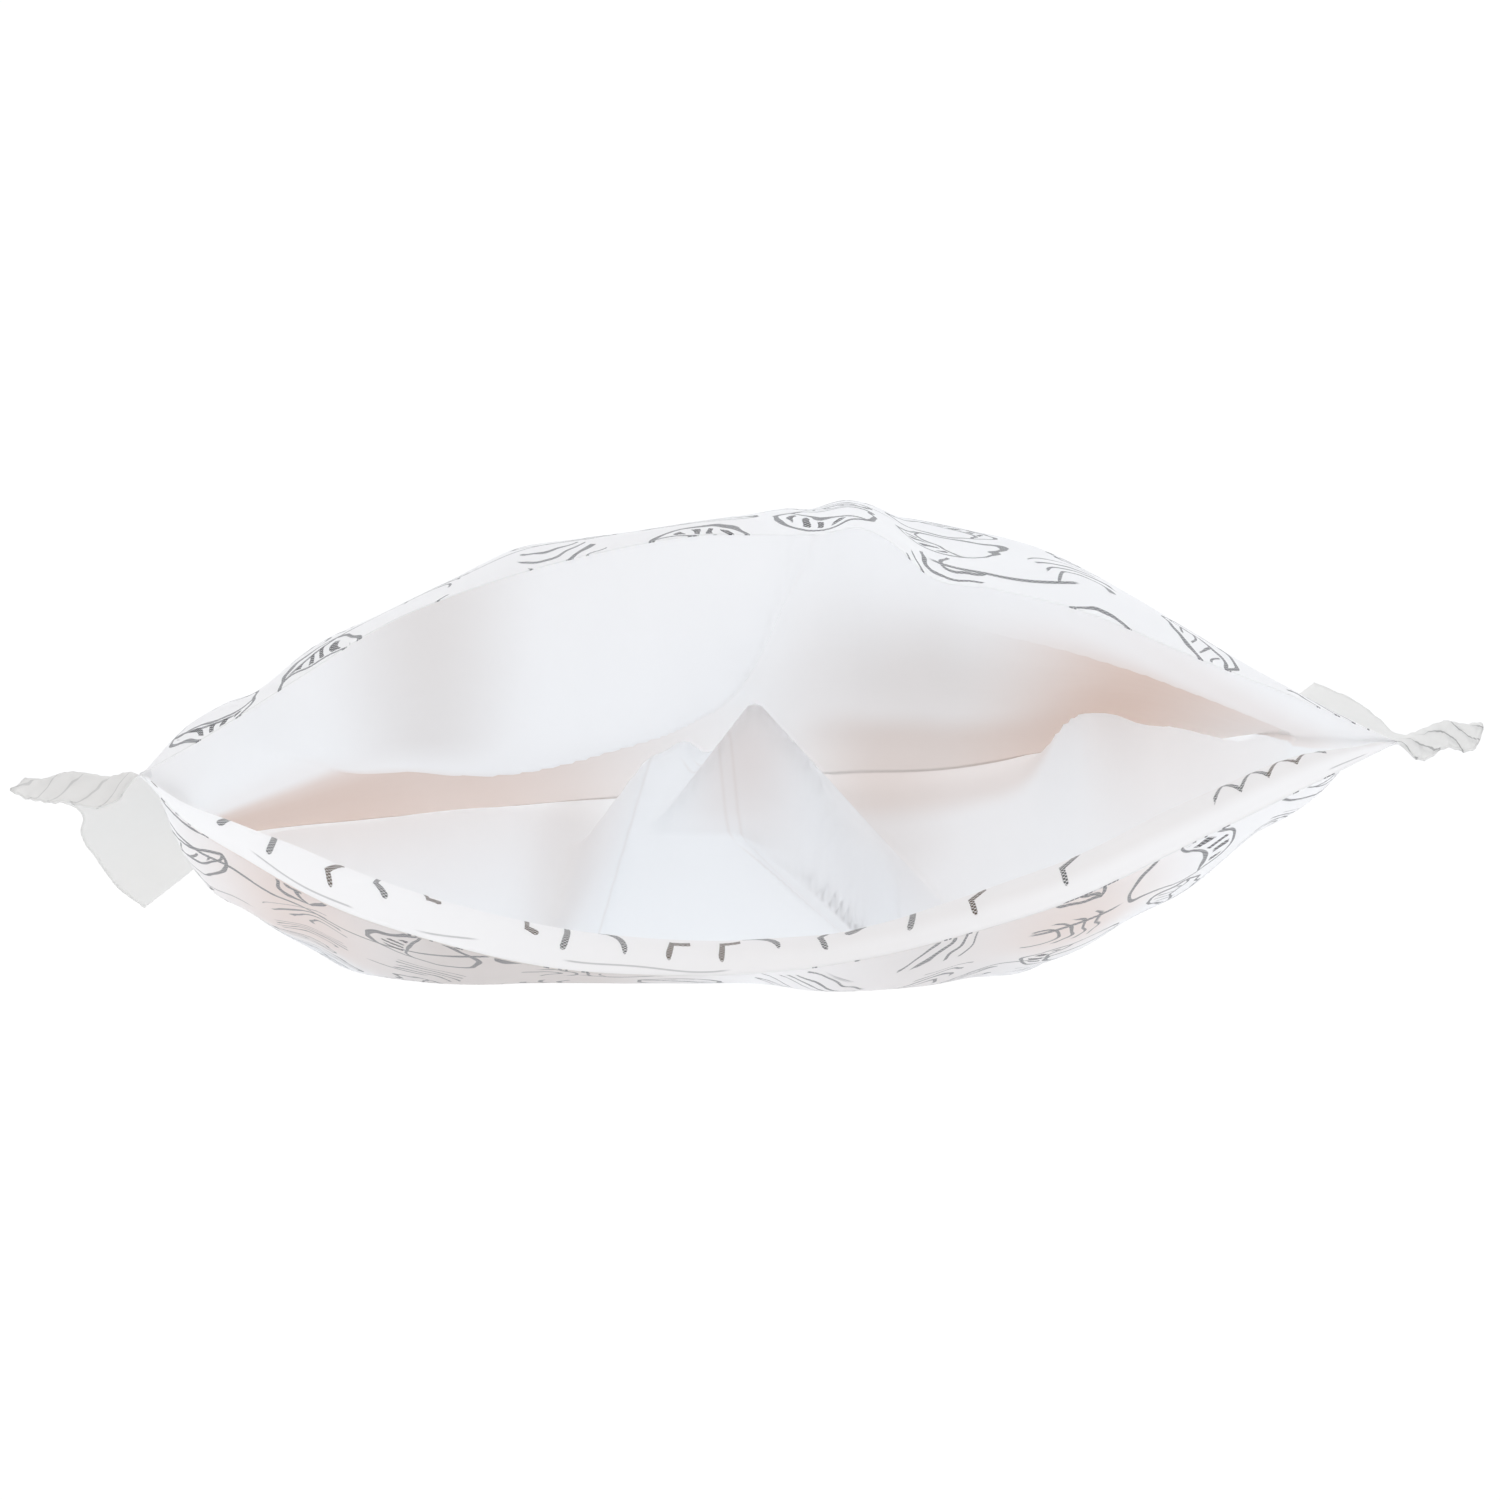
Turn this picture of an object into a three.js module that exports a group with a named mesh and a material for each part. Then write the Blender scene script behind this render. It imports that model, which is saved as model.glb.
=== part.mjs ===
// Open film bag, lying on its lower panel with the mouth towards -Y and the welded end towards +Y.
// Two printed film panels are joined by a crimped weld along each side and across the far end.
// The whole bag is one welded piece. Millimetres, +Z up, the table is z = 0.
import * as THREE from "three";

// ---- sizes of the bag ----
const DEPTH = 228; // lip to the outer end of the far weld, as it lies
const END_WELD = 10; // width of the weld across the far end
const CAVITY = DEPTH - END_WELD; // depth at which the two panels meet
const WALL = 0.5; // film panel, drawn thicker than the real film
const WELD = 0.8; // the two films fused in a weld
const MOUTH_LEFT = -61; // x of the mouth's left corner
const MOUTH_RIGHT = 64.7; // x of the mouth's right corner
const MOUTH_WIDTH = MOUTH_RIGHT - MOUTH_LEFT;
const CREASE = 0.8; // rounding where the lower panel leaves the table
const CENTRE_X = -2.8; // middle of the whole width, which becomes x = 0
const CENTRE_Y = DEPTH / 2; // middle of the length, which becomes y = 0

// ---- how finely the film is divided ----
const PANEL_COLUMNS = 40;
const FIN_COLUMNS = 3;
const ROW_STEPS = [
  { to: 6, rows: 2 },
  { to: 40, rows: 5 },
  { to: CAVITY, rows: 18 },
];
const WELD_ROWS = 2;

// ---- small shape helpers ----
const clamp = (t, low, high) => Math.min(Math.max(t, low), high);
const mix = (a, b, t) => a + (b - a) * t;
const bell = (t, width) => Math.exp(-((t / width) ** 2));

function ease(from, to, value) {
  const t = clamp((value - from) / (to - from), 0, 1);
  return t * t * (3 - 2 * t);
}

// Joins two heights with a rounded corner and keeps the higher one.
function higher(a, b, round) {
  const h = clamp(0.5 + (0.5 * (a - b)) / round, 0, 1);
  return mix(b, a, h) + round * h * (1 - h);
}

// A smooth line through a few named stations [place, size].
function profile(...stations) {
  const place = stations.map((s) => s[0]);
  const size = stations.map((s) => s[1]);
  const last = place.length - 1;
  const slope = (i) => (size[i + 1] - size[i]) / (place[i + 1] - place[i]);
  const lean = place.map((_, i) => {
    if (i === 0) return slope(0);
    if (i === last) return slope(last - 1);
    const before = place[i] - place[i - 1];
    const after = place[i + 1] - place[i];
    return (slope(i - 1) * after + slope(i) * before) / (before + after);
  });
  return (value) => {
    const v = clamp(value, place[0], place[last]);
    let i = 0;
    while (i < last - 1 && v > place[i + 1]) i += 1;
    const span = place[i + 1] - place[i];
    const t = (v - place[i]) / span;
    const start = (2 * t ** 3 - 3 * t ** 2 + 1) * size[i] + (t ** 3 - 2 * t ** 2 + t) * span * lean[i];
    const end = (3 * t ** 2 - 2 * t ** 3) * size[i + 1] + (t ** 3 - t ** 2) * span * lean[i + 1];
    return start + end;
  };
}

// ---- the mouth: heights of the two cut lips across x ----
const upperLip = profile(
  [-61, 22.5], [-55, 25.9], [-45, 32.2], [-37, 37.2], [-25, 42], [-14, 44.9], [-6, 46.3], [6.8, 46.5],
  [11.5, 47], [14.5, 45.4], [17.5, 42.6], [24.4, 41], [32.4, 39.1], [45, 34], [55, 30], [64.7, 25.7],
);
const lowerLip = profile(
  [-61, 22.5], [-57.6, 18.8], [-50, 13.7], [-43, 9.7], [-31, 5.5], [-19, 2.8], [-9, 2.1], [2, 2.5],
  [12, 4], [22, 6.5], [32.7, 10], [43, 15], [52.4, 19.6], [64.7, 25.7],
);
// How far each panel swells out just behind its lip, across x.
const upperSwell = profile(
  [-61, 0.6], [-58, 3.5], [-54, 3.9], [-50, 2.8], [-45, 3.8], [-37, 2.5], [-30, 2.8], [-24, 3.7],
  [-17, 2.8], [-10, 2.2], [-5, 2.3], [0, 2.9], [5, 3.8], [8, 3.6], [14, 5.4], [19, 8], [24, 7.7],
  [30, 7.3], [36, 6.2], [41, 5.3], [47, 3.9], [52, 2.4], [57, 1.4], [64.7, 0.5],
);
const lowerSwell = profile(
  [-61, 0.8], [-57, 5.2], [-53.5, 4.8], [-50, 4.3], [-46, 2.8], [-41, 2.7], [-36, 2.8], [-32, 2.7],
  [-27, 2], [-23, 0.8], [-19, 0.1], [-12, 0], [-3, 0], [3, 0.6], [10, 5.3], [14, 5.5], [18, 5],
  [23, 4.6], [28, 4.5], [33, 5.8], [38, 6.4], [43, 6], [49, 6.2], [56, 4.4], [61, 4.2], [64.7, 0.4],
);
// The lower lip flares down and out: how far the film rises just behind it, across x.
const lowerFlare = profile(
  [-61, 0], [-57, 1.6], [-48, 3.3], [-30, 3.3], [-15, 2.5], [0, 2.1], [12, 2.4], [30, 3.2], [45, 3.4],
  [57, 2.6], [64.7, 0],
);
const LIP_DENT = { x: 21, width: 9, depth: 4, reach: 24 }; // the upper lip is pushed in here

// ---- how the bag changes from the lip to the far weld ----
const upperSwellAlong = profile(
  [0, 0], [4, 0.5], [8, 0.68], [16, 0.86], [32, 1], [60, 0.8], [110, 0.25], [160, 0], [CAVITY, 0],
);
const lowerSwellAlong = profile(
  [0, 0], [6, 0.08], [12, 0.38], [20, 0.8], [32, 1], [60, 0.8], [110, 0.25], [160, 0], [CAVITY, 0],
);
const flareAlong = profile(
  [0, 0], [1, 0.4], [2.5, 0.74], [5, 0.98], [8, 1], [14, 0.8], [22, 0.3], [32, 0], [CAVITY, 0],
);
const upperTaper = profile(
  [0, 1], [40, 1], [100, 0.78], [140, 0.56], [175, 0.38], [203, 0.18], [CAVITY, 0],
);
const lowerTaper = profile(
  [0, 1], [40, 1], [70, 1.02], [100, 1.05], [126, 1.03], [150, 0.7], [175, 0.38], [CAVITY, 0],
);

// ---- side welds: inner line (where the panels part) and outer edge ----
const leftSeamX = profile([0, MOUTH_LEFT], [30, -61.2], [60, -62], [110, -65], [CAVITY, -69.5]);
const leftSeamZ = profile([0, 22.5], [40, 21.2], [120, 17], [CAVITY, 13.4]);
const rightSeamX = profile([0, MOUTH_RIGHT], [30, 62], [60, 60.5], [110, 63], [CAVITY, 67.5]);
const rightSeamZ = profile([0, 25.7], [60, 26.1], [130, 26.7], [CAVITY, 27.5]);
const leftEdgeX = profile(
  [0, -74], [12, -71.5], [25, -70.2], [60, -73.1], [120, -77.6], [180, -80.6], [DEPTH, -81.8],
);
const leftEdgeZ = profile(
  [0, 21.9], [12, 20.6], [25, 19.2], [60, 15.9], [120, 12.4], [180, 7.4], [DEPTH, 3.8],
);
const rightEdgeX = profile(
  [0, 73.6], [12, 72], [30, 67.8], [45, 67.6], [110, 70.6], [160, 73], [DEPTH, 76.2],
);
const rightEdgeZ = profile(
  [0, 25.4], [12, 27.6], [30, 26.6], [45, 28], [110, 30.8], [160, 32.2], [DEPTH, 34],
);

// Height of the far weld across x: raised to the right, its left corner hanging down.
const endHeight = profile(
  [-82, 3.8], [-79, 9], [-75, 12], [-69.5, 13.4], [-50, 15.6], [-30, 17.3], [-15, 18.7], [0, 20.4],
  [10.7, 21.7], [26.7, 22.4], [40, 24.6], [52, 26.2], [67.5, 27.5], [73, 30], [76.2, 33.4],
);

// ---- folds of the upper panel ----
// Its left half hangs into the bag as a sheet; this is the sheet's lower edge, as depth over x.
const sheetEdge = profile(
  [-61, 148], [-43, 146], [-29, 141], [-18, 131], [-7, 115], [-0.6, 90], [4.3, 50], [8.5, 0],
);
// How much the sheet falls for each millimetre of depth.
const sheetFall = profile(
  [-60, 0], [-50, 0.055], [-42, 0.097], [-35, 0.127], [-28, 0.145], [-20, 0.156], [-10, 0.162],
  [8.5, 0.172],
);
const SHEET = { swellAt: 32, swellWidth: 34, foldBack: 5.5, foldFront: 1.5 };

// On its right half the panel folds up into a pocket behind this line, as depth over x.
const pocketEdge = profile([30, 100], [45, 88], [60, 72]);
const POCKET = { x: 46, spread: 15, height: 3.4, step: 7, closesFrom: 165, closesAt: 212 };

// How far a place lies in front of the sheet's edge, square to that edge.
function inFrontOfSheet(x, y) {
  const lean = (sheetEdge(x + 1) - sheetEdge(x - 1)) / 2;
  return (sheetEdge(x) - y) / Math.hypot(1, lean);
}

// ---- folds of the lower panel: soft humps and hollows, each at x, y with a spread each way ----
const HUMPS = [
  { name: "left hump", x: -36, y: 172, spreadX: [15, 15], spreadY: 34, height: 5 },
  { name: "left corner hump", x: -56, y: 150, spreadX: [10, 10], spreadY: 40, height: 1.2 },
  { name: "right hump", x: 42, y: 175, spreadX: [4.2, 6.8], spreadY: 30, height: 9.9 },
  { name: "right shoulder", x: 56, y: 175, spreadX: [11, 14], spreadY: 30, height: 4.3 },
];
const RESTS = [
  { name: "middle rest", x: 2, y: 98, spreadX: 32, spreadY: 36, depth: 5 },
  { name: "right rest", x: 21, y: 112, spreadX: 13, spreadY: 26, depth: 5 },
  { name: "left rest", x: -27, y: 116, spreadX: 13, spreadY: 24, depth: 3 },
];
// A flat three-cornered facet stands up from the table: its foot line, its peak and its flanks.
const FACET = {
  footY: 98, footLeft: -17.9, footRight: 13.5, footZ: 1.5,
  peakY: 175, peakX: -8.2, peakZ: 26.3, peakLeft: -12.5,
  leftFlank: 1.5, rightFlank: 0.75, leftTop: 1, rightTop: 0.55, back: 0.28, bow: 3.2, round: 2.6,
};
// Behind the facet's right side a second fold stands up, steep in front, as far as the upper panel.
const BACK_FOLD = {
  x: 0.5, y: 148, z: 31.3, front: 2.2, left: 1.3, right: 1.1, back: 0.05, round: 2.2,
};

function backFoldHeight(x, y) {
  const inFront = BACK_FOLD.z - BACK_FOLD.front * Math.max(BACK_FOLD.y - y, 0);
  const behind = BACK_FOLD.z - BACK_FOLD.back * Math.max(y - BACK_FOLD.y, 0);
  const left = BACK_FOLD.z - BACK_FOLD.left * Math.max(BACK_FOLD.x - x, 0);
  const right = BACK_FOLD.z - BACK_FOLD.right * Math.max(x - BACK_FOLD.x, 0);
  return Math.min(inFront, behind, left, right);
}

// Height of the line that joins the two side welds.
function chord(u, x, y) {
  const straight = mix(leftSeamZ(y), rightSeamZ(y), u);
  const endLine = mix(endHeight(leftSeamX(CAVITY)), endHeight(rightSeamX(CAVITY)), u);
  return straight + ease(90, CAVITY, y) * (endHeight(x) - endLine);
}

function across(u, y) {
  return mix(leftSeamX(y), rightSeamX(y), u);
}

// Inner face of the upper panel. u runs 0 to 1 from the left weld to the right one.
function upperPanel(u, y) {
  const x = across(u, y);
  const lipX = MOUTH_LEFT + MOUTH_WIDTH * u;
  const rise = upperLip(lipX) - chord(u, lipX, 0);
  const swell = upperSwell(lipX);
  const dent = LIP_DENT.depth * bell(lipX - LIP_DENT.x, LIP_DENT.width);
  const body = chord(u, x, y) + (rise + dent) * upperTaper(y) - dent * bell(y, LIP_DENT.reach);
  const open = ease(0, POCKET.step, y - pocketEdge(x));
  const closed = ease(POCKET.closesFrom, POCKET.closesAt, y);
  const pocket = POCKET.height * open * (1 - closed) * bell(x - POCKET.x, POCKET.spread);
  const free = body + (swell - dent) * upperSwellAlong(y) + pocket;

  const fall = sheetFall(x);
  const swollen = bell(y - SHEET.swellAt, SHEET.swellWidth) * (1 - bell(y, 10));
  const puff = (swell + fall * SHEET.swellAt) * swollen;
  const sheet = upperLip(clamp(lipX, MOUTH_LEFT, 8.5)) - fall * y + puff;
  const inFront = ease(-SHEET.foldBack, SHEET.foldFront, inFrontOfSheet(x, y));
  const leftOnly = 1 - ease(4, 10, x);
  const share = inFront * leftOnly * ease(-61, -48, x) * ease(10, 60, y);
  return free + (Math.min(free, sheet) - free) * share;
}

function facetHeight(x, y) {
  const along = (y - FACET.footY) / (FACET.peakY - FACET.footY);
  const slope = mix(FACET.footZ, FACET.peakZ, along);
  const left = mix(FACET.footLeft, FACET.peakLeft, along);
  const bow = FACET.bow * 4 * along * Math.max(1 - along, 0);
  const right = mix(FACET.footRight, FACET.peakX, along) - bow;
  const leftSide = slope - Math.max(left - x, 0) * FACET.leftFlank;
  const rightSide = slope - Math.max(x - right, 0) * FACET.rightFlank;
  const fromPeak = x - FACET.peakX;
  const top = FACET.peakZ - (y - FACET.peakY) * FACET.back;
  const roof = top - Math.abs(fromPeak) * (fromPeak < 0 ? FACET.leftTop : FACET.rightTop);
  return Math.min(leftSide, rightSide, roof);
}

// Outer face of the lower panel; it lies flat where it meets the table.
function lowerPanel(u, y) {
  const x = across(u, y);
  const lipX = MOUTH_LEFT + MOUTH_WIDTH * u;
  const drop = chord(u, lipX, 0) - lowerLip(lipX);
  const side = clamp(Math.min(x - leftSeamX(y), rightSeamX(y) - x) / 12, 0, 1);
  let z = chord(u, x, y) - drop * lowerTaper(y) - lowerSwell(lipX) * lowerSwellAlong(y);
  z += lowerFlare(lipX) * flareAlong(y);
  for (const hump of HUMPS) {
    const spread = x < hump.x ? hump.spreadX[0] : hump.spreadX[1];
    z += hump.height * bell(x - hump.x, spread) * bell(y - hump.y, hump.spreadY) * side;
  }
  for (const rest of RESTS) {
    z -= rest.depth * bell(x - rest.x, rest.spreadX) * bell(y - rest.y, rest.spreadY);
  }
  z = higher(z, facetHeight(x, y), FACET.round);
  z = higher(z, backFoldHeight(x, y), BACK_FOLD.round);
  z = higher(z, 0, CREASE);
  const gap = 2 * WALL + 0.6 + 1.5 * clamp((CAVITY - y) / 30, 0, 1);
  const parted = clamp(side * 3, 0, 1) * (1 - ease(CAVITY - 6, CAVITY, y));
  return Math.min(z, upperPanel(u, y) - gap * parted);
}

// Film thickness measured straight up, so that a steep fold keeps its wall.
function upright(surface, u, y) {
  const step = 0.5;
  const du = step / MOUTH_WIDTH;
  const slopeX = (surface(Math.min(u + du, 1), y) - surface(Math.max(u - du, 0), y)) / (2 * step);
  const beyond = surface(u, Math.min(y + step, CAVITY));
  const before = surface(u, Math.max(y - step, 0));
  const slopeY = (beyond - before) / (2 * step);
  return WALL * Math.min(Math.hypot(1, slopeX, slopeY), 2.2);
}

// ---- rows from the lip to the far edge ----
const rows = [0];
for (const { to, rows: count } of ROW_STEPS) {
  const from = rows[rows.length - 1];
  for (let i = 1; i <= count; i += 1) rows.push(mix(from, to, i / count));
}
const cavityRows = rows.length;
for (let i = 1; i <= WELD_ROWS; i += 1) rows.push(mix(CAVITY, DEPTH, i / WELD_ROWS));

// ---- mesh of the welded film ----
const points = [];
const faces = [];

function addPoint(x, y, z) {
  points.push(x, y, z);
  return points.length / 3 - 1;
}

function addQuad(a, b, c, d) {
  faces.push(a, b, c, a, c, d);
}

// Middle of the film at a column of the whole width: fins first, then the panel, then fins.
const COLUMNS = PANEL_COLUMNS + 2 * FIN_COLUMNS;

function outerPoint(column, y, upperSide) {
  const inPanel = column - FIN_COLUMNS;
  const weldDepth = Math.min(y, CAVITY);
  const u = clamp(inPanel / PANEL_COLUMNS, 0, 1);
  let x = across(u, weldDepth);
  let z;
  if (y > CAVITY) {
    z = endHeight(x) + (upperSide ? WELD / 2 : -WELD / 2);
  } else if (upperSide) {
    z = upperPanel(u, y) + upright(upperPanel, u, y);
  } else {
    z = lowerPanel(u, y);
  }
  const isLeftFin = inPanel <= 0;
  const isRightFin = inPanel >= PANEL_COLUMNS;
  if (isLeftFin || isRightFin) {
    const outward = isLeftFin ? -inPanel / FIN_COLUMNS : (inPanel - PANEL_COLUMNS) / FIN_COLUMNS;
    const seamX = isLeftFin ? leftSeamX(weldDepth) : rightSeamX(weldDepth);
    const seamZ = y > CAVITY ? endHeight(seamX) : (isLeftFin ? leftSeamZ(y) : rightSeamZ(y));
    const edgeX = isLeftFin ? leftEdgeX(y) : rightEdgeX(y);
    const edgeZ = isLeftFin ? leftEdgeZ(y) : rightEdgeZ(y);
    x = mix(seamX, edgeX, outward);
    z = mix(seamZ, edgeZ, outward) + (upperSide ? WELD / 2 : -WELD / 2);
  }
  return [x, y, z];
}

const upperOuter = [];
const lowerOuter = [];
for (const y of rows) {
  const upperRow = [];
  const lowerRow = [];
  for (let column = 0; column <= COLUMNS; column += 1) {
    upperRow.push(addPoint(...outerPoint(column, y, true)));
    lowerRow.push(addPoint(...outerPoint(column, y, false)));
  }
  upperOuter.push(upperRow);
  lowerOuter.push(lowerRow);
}

// Inner faces share their points along both side welds and along the end of the cavity.
const upperInner = [];
const lowerInner = [];
for (let row = 0; row < cavityRows; row += 1) {
  const y = rows[row] * ((CAVITY - 1) / CAVITY);
  const upperRow = [];
  const lowerRow = [];
  for (let column = 0; column <= PANEL_COLUMNS; column += 1) {
    const u = column / PANEL_COLUMNS;
    const onWeld = column === 0 || column === PANEL_COLUMNS || row === cavityRows - 1;
    const x = across(u, y);
    const top = upperPanel(u, y);
    const floor = lowerPanel(u, y) + upright(lowerPanel, u, y);
    if (onWeld) {
      const between = (top + lowerPanel(u, y)) / 2;
      const shared = addPoint(x, y, onWeld && row < cavityRows - 1 ? chord(u, x, y) : between);
      upperRow.push(shared);
      lowerRow.push(shared);
    } else {
      upperRow.push(addPoint(x, y, Math.max(top, floor + 0.3)));
      lowerRow.push(addPoint(x, y, floor));
    }
  }
  upperInner.push(upperRow);
  lowerInner.push(lowerRow);
}

// Outside faces and the rim round the welds.
for (let row = 0; row < rows.length - 1; row += 1) {
  for (let column = 0; column < COLUMNS; column += 1) {
    const [a, b] = [upperOuter[row][column], upperOuter[row][column + 1]];
    const [c, d] = [upperOuter[row + 1][column + 1], upperOuter[row + 1][column]];
    addQuad(a, b, c, d);
    const [e, f] = [lowerOuter[row][column], lowerOuter[row][column + 1]];
    const [g, h] = [lowerOuter[row + 1][column + 1], lowerOuter[row + 1][column]];
    addQuad(e, h, g, f);
  }
  addQuad(upperOuter[row][0], upperOuter[row + 1][0], lowerOuter[row + 1][0], lowerOuter[row][0]);
  const [i, j] = [upperOuter[row][COLUMNS], upperOuter[row + 1][COLUMNS]];
  addQuad(i, lowerOuter[row][COLUMNS], lowerOuter[row + 1][COLUMNS], j);
}
const lastRow = rows.length - 1;
for (let column = 0; column < COLUMNS; column += 1) {
  const [a, b] = [upperOuter[lastRow][column], upperOuter[lastRow][column + 1]];
  addQuad(a, b, lowerOuter[lastRow][column + 1], lowerOuter[lastRow][column]);
}

// Inside faces.
for (let row = 0; row < cavityRows - 1; row += 1) {
  for (let column = 0; column < PANEL_COLUMNS; column += 1) {
    const [a, b] = [upperInner[row][column], upperInner[row][column + 1]];
    const [c, d] = [upperInner[row + 1][column + 1], upperInner[row + 1][column]];
    addQuad(a, d, c, b);
    const [e, f] = [lowerInner[row][column], lowerInner[row][column + 1]];
    const [g, h] = [lowerInner[row + 1][column + 1], lowerInner[row + 1][column]];
    addQuad(e, f, g, h);
  }
}

// Front edge: the ends of the two side welds, then the two cut lips.
const first = FIN_COLUMNS;
const last = FIN_COLUMNS + PANEL_COLUMNS;
for (let column = 0; column < COLUMNS; column += 1) {
  const [a, b] = [upperOuter[0][column], upperOuter[0][column + 1]];
  const [c, d] = [lowerOuter[0][column + 1], lowerOuter[0][column]];
  if (column < first || column >= last) {
    addQuad(a, d, c, b);
  } else {
    const k = column - first;
    addQuad(a, upperInner[0][k], upperInner[0][k + 1], b);
    addQuad(d, c, lowerInner[0][k + 1], lowerInner[0][k]);
  }
}
faces.push(upperOuter[0][first], lowerOuter[0][first], upperInner[0][0]);
faces.push(lowerOuter[0][last], upperOuter[0][last], upperInner[0][PANEL_COLUMNS]);

// Drop the triangles that collapse where shared points meet.
const kept = [];
for (let i = 0; i < faces.length; i += 3) {
  const [a, b, c] = [faces[i], faces[i + 1], faces[i + 2]];
  if (a !== b && b !== c && c !== a) kept.push(a, b, c);
}

const geometry = new THREE.BufferGeometry();
geometry.setAttribute("position", new THREE.Float32BufferAttribute(points, 3));
geometry.setIndex(kept);
geometry.translate(-CENTRE_X, -CENTRE_Y, 0);
geometry.computeVertexNormals();

const film = new THREE.MeshStandardMaterial({ color: 0xf4f4f5, roughness: 0.38, metalness: 0 });
const bag = new THREE.Mesh(geometry, film);
bag.name = "bag_film";

const group = new THREE.Group();
group.name = "open_film_bag";
group.add(bag);

export default group;
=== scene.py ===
"""Looks of an open, empty film bag for hazelnuts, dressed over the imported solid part.

The bag lies on its lower panel with its mouth towards -Y. Sizes of the film are in millimetres from
the middle of the mouth, and become metres from the part's own origin when the mesh is made.
"""
import math

import bpy
import numpy as np
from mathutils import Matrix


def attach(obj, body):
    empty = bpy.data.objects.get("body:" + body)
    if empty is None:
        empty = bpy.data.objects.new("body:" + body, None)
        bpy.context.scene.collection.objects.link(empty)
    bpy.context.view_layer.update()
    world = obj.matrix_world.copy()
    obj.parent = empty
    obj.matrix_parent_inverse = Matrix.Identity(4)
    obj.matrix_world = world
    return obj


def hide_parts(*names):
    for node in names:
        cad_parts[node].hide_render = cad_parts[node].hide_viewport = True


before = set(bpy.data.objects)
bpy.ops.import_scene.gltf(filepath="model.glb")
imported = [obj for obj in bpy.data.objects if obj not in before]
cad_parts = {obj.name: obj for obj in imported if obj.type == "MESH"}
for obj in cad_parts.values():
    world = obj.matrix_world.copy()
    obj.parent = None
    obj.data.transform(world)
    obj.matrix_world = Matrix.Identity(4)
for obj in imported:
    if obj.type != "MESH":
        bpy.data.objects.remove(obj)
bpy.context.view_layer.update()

# ---- Film panels ----------------------------------------------------------------------------
# The real bag is two panels of white printed film, 0.07 mm thick, laid face to face and welded
# together at the sides and the far end. The mouth was cut open, and handling left the folds: a
# sheet of the upper panel hanging into the bag, and a three-cornered facet standing up below it.
DEPTH = 228.0
END_WELD = 10.0
CAVITY = DEPTH - END_WELD
FILM = 0.12
WELD_THICKNESS = 0.24
MOUTH_LEFT, MOUTH_RIGHT = -61.0, 64.7
MOUTH_WIDTH = MOUTH_RIGHT - MOUTH_LEFT
PANEL_COLUMNS = 160


def ease(start, stop, value):
    """Goes smoothly from 0 at start to 1 at stop."""
    t = np.clip((value - start) / (stop - start), 0, 1)
    return t * t * (3 - 2 * t)


def bell(distance, width):
    """1 at the middle, falling away to nothing at about twice the width."""
    return np.exp(-(distance / width) ** 2)


def higher(a, b, rounding):
    """The higher of two heights, with a rounded corner where they meet."""
    share = np.clip(0.5 + 0.5 * (a - b) / rounding, 0, 1)
    return b * (1 - share) + a * share + rounding * share * (1 - share)


def profile(*stations):
    """A smooth line through a few named stations of (place, size)."""
    place, size = np.array(stations, float).T
    gap = np.diff(place)
    slope = np.diff(size) / gap
    lean = np.empty(len(place))
    lean[0], lean[-1] = slope[0], slope[-1]
    lean[1:-1] = (slope[:-1] * gap[1:] + slope[1:] * gap[:-1]) / (gap[1:] + gap[:-1])

    def at(value):
        v = np.clip(np.asarray(value, float), place[0], place[-1])
        i = np.clip(np.searchsorted(place, v, side="right") - 1, 0, len(place) - 2)
        t = (v - place[i]) / gap[i]
        leaving = (2 * t**3 - 3 * t**2 + 1) * size[i] + (t**3 - 2 * t**2 + t) * gap[i] * lean[i]
        arriving = (3 * t**2 - 2 * t**3) * size[i + 1] + (t**3 - t**2) * gap[i] * lean[i + 1]
        return leaving + arriving

    return at


# Heights of the two cut lips across the mouth.
upper_lip = profile(
    (-61, 22.5), (-55, 25.9), (-45, 32.2), (-37, 37.2), (-25, 42), (-14, 44.9), (-6, 46.3), (6.8, 46.5),
    (11.5, 47), (14.5, 45.4), (17.5, 42.6), (24.4, 41), (32.4, 39.1), (45, 34), (55, 30), (64.7, 25.7))
lower_lip = profile(
    (-61, 22.5), (-57.6, 18.8), (-50, 13.7), (-43, 9.8), (-31, 5.6), (-19, 3.0), (-9, 2.4), (2, 2.7),
    (12, 4.1), (22, 6.6), (32.7, 10.1), (43, 15), (52.4, 19.6), (64.7, 25.7))
# How far each panel swells out behind its lip, and how far the lower lip flares down in front.
upper_swell = profile(
    (-61, 0.6), (-58, 3.5), (-54, 3.9), (-50, 2.8), (-45, 3.8), (-37, 2.5), (-30, 2.8), (-24, 3.7),
    (-17, 2.8), (-10, 2.2), (-5, 2.3), (0, 2.9), (5, 3.8), (8, 3.6), (14, 5.4), (19, 8), (24, 7.7),
    (30, 7.3), (36, 6.2), (41, 5.3), (47, 3.9), (52, 2.4), (57, 1.4), (64.7, 0.5))
lower_swell = profile(
    (-61, 0.8), (-59.5, 4.4), (-57, 5.7), (-53.5, 4.8), (-50, 4.3), (-46, 2.8), (-41, 2.7),
    (-36, 2.8), (-32, 2.7), (-27, 2), (-23, 0.8), (-19, 0.1), (-12, 0), (-3, 0), (3, 0.6), (10, 5.3),
    (14, 5.5), (18, 5), (23, 4.6), (28, 4.5), (33, 5.8), (38, 6.4), (43, 6), (49, 6.2), (56, 4.4),
    (61, 4.2), (64.7, 0.4))
lower_flare = profile(
    (-61, 0), (-57, 2), (-48, 4.2), (-30, 4.6), (-15, 3.8), (0, 3.2), (12, 3.6), (30, 4.4), (45, 4.6),
    (57, 3.2), (64.7, 0))
LIP_DENT = dict(x=21, width=9, depth=4, reach=24)

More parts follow.
